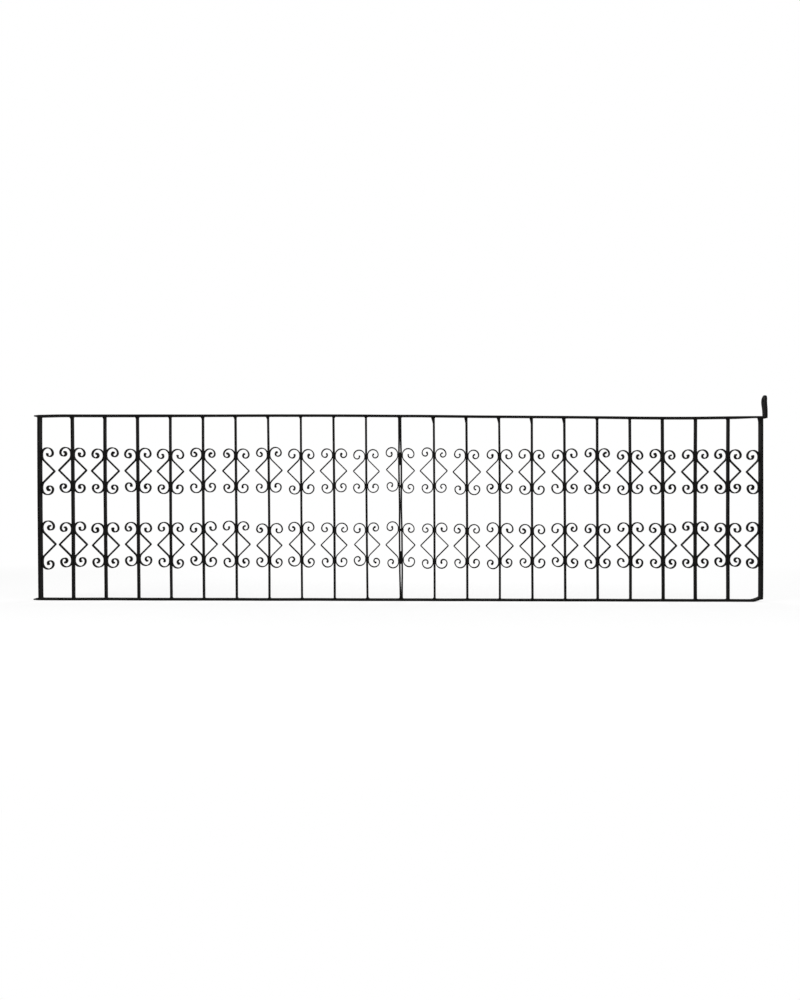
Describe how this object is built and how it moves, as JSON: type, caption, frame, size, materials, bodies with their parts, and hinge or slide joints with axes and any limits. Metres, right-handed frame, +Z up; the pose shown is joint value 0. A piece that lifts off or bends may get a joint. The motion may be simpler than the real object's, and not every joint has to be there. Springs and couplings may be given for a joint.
{
  "type": "wrought iron balustrade",
  "caption": "Wrought iron balustrade of flat uprights between flat rails, with tiers of folded strips that end in scrolls, and an upturned lug for a wall bolt.",
  "frame": {"origin": "on the underside of the bottom rails, midway across their width, where the two panels meet", "axes": "+X along the rails towards the wall lug, +Y from the front to the back, +Z up"},
  "size_m": [3.673, 0.045, 1.032],
  "materials": {
    "frame_paint": "satin black paint over hand-worked flat iron",
    "bar_paint": "satin black paint over rolled flat bar",
    "scroll_paint": "satin black paint over forged strip"
  },
  "bodies": {
    "root": {"top_rail_left": "frame_paint", "bottom_rail_left": "frame_paint", "end_bar_left": "frame_paint", "joining_bar_left": "bar_paint", "bar_left_01": "bar_paint", "bar_left_02": "bar_paint", "bar_left_03": "bar_paint", "bar_left_04": "bar_paint", "bar_left_05": "bar_paint", "bar_left_06": "bar_paint", "bar_left_07": "bar_paint", "bar_left_08": "bar_paint", "bar_left_09": "bar_paint", "bar_left_10": "bar_paint", "top_rail_right": "frame_paint", "bottom_rail_right": "frame_paint", "end_bar_right": "frame_paint", "joining_bar_right": "bar_paint", "bar_right_01": "bar_paint", "bar_right_02": "bar_paint", "bar_right_03": "bar_paint", "bar_right_04": "bar_paint", "bar_right_05": "bar_paint", "bar_right_06": "bar_paint", "bar_right_07": "bar_paint", "bar_right_08": "bar_paint", "bar_right_09": "bar_paint", "bar_right_10": "bar_paint", "scrolls_upper_left": "scroll_paint", "scrolls_upper_right": "scroll_paint", "packing_upper": "bar_paint", "spacer_upper": "bar_paint", "scrolls_lower_left": "scroll_paint", "scrolls_lower_right": "scroll_paint", "packing_lower": "bar_paint", "spacer_lower": "bar_paint", "wall_lug": "frame_paint"}
  },
  "joints": []
}
